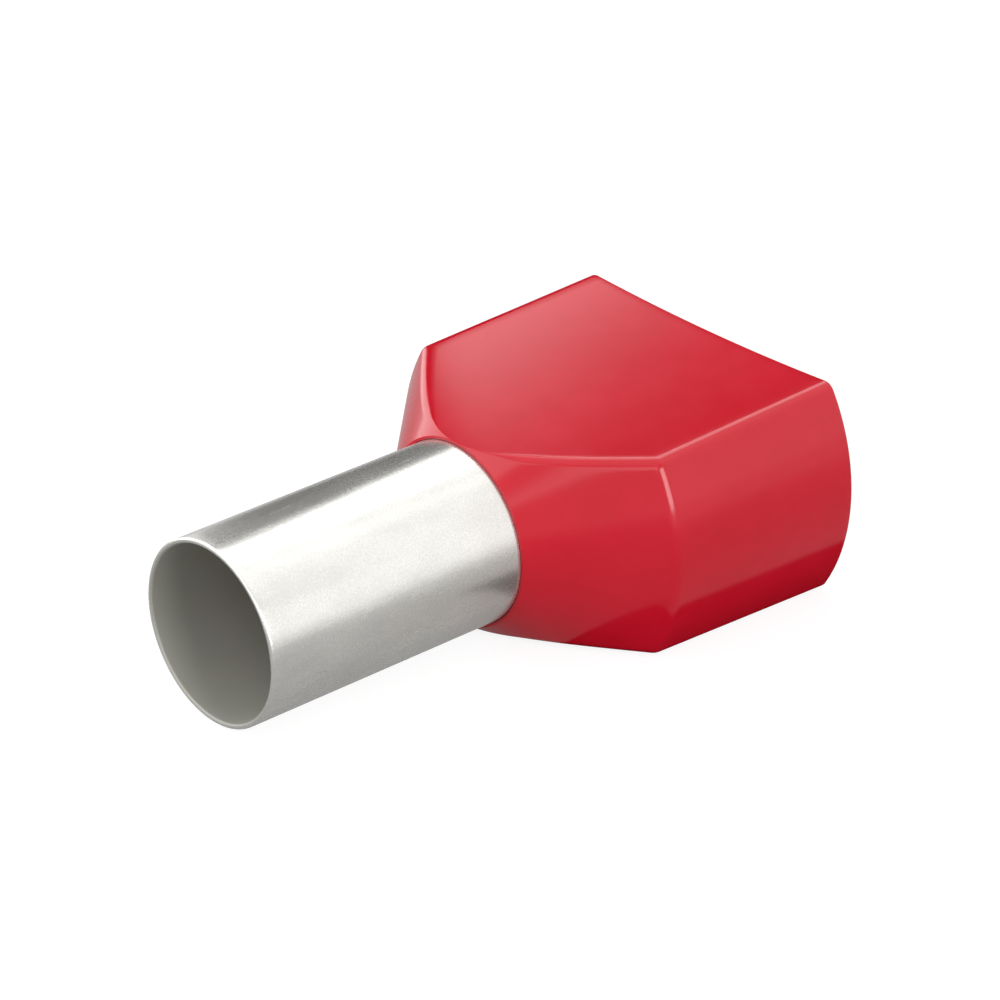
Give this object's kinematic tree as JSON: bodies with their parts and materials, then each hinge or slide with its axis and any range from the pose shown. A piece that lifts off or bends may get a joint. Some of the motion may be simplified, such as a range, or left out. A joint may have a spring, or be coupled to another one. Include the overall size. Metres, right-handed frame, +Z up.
{
  "type": "twin wire ferrule",
  "caption": "Twin wire end ferrule: a thin round crimp sleeve in a moulded collar whose wide oblong mouth leads in two stranded wires side by side.",
  "frame": {"origin": "on the sleeve's axis, in the plane of the collar's front lip, where the exposed sleeve ends", "axes": "+Y along the sleeve's axis from its tip to the wire mouth, +X across the two wires side by side, +Z up, normal to the two wide faces"},
  "size_m": [0.015, 0.0235, 0.0084],
  "materials": {
    "tin_plate": "satin tin plating over copper, fine grain",
    "red_plastic": "smooth semi-matte moulded polypropylene"
  },
  "bodies": {
    "root": {"sleeve": "tin_plate", "collar": "red_plastic"}
  },
  "joints": []
}
